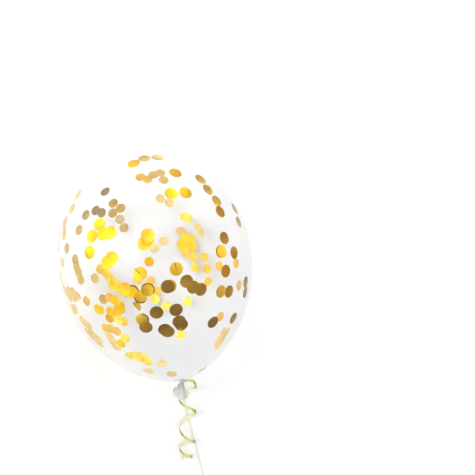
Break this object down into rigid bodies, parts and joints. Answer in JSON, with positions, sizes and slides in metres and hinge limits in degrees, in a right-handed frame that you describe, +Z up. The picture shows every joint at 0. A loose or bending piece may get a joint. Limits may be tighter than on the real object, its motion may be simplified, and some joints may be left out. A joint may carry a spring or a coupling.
{
  "type": "confetti balloon",
  "caption": "Clear round party balloon with loose gold foil discs inside, tied at the neck, with a curled gold ribbon and a thin string, lying on its side.",
  "frame": {"origin": "centre of the flat spot that the balloon lies on", "axes": "+Z up, +Y from the neck towards the crown, +X to the side"},
  "size_m": [0.3, 0.6176, 0.2973],
  "materials": {
    "clear_latex": "clear, glossy, stretched thin",
    "gold_ribbon": "glossy pale-gold curling ribbon",
    "pale_gold_string": "thin twisted string, pale gold",
    "gold_foil": "thin metallic foil, glossy"
  },
  "bodies": {
    "root": {"balloon": "clear_latex", "neck_tie": "pale_gold_string", "ribbon_lead": "gold_ribbon", "ribbon_curl": "gold_ribbon", "string": "pale_gold_string", "string_knot": "pale_gold_string"}
  },
  "joints": []
}
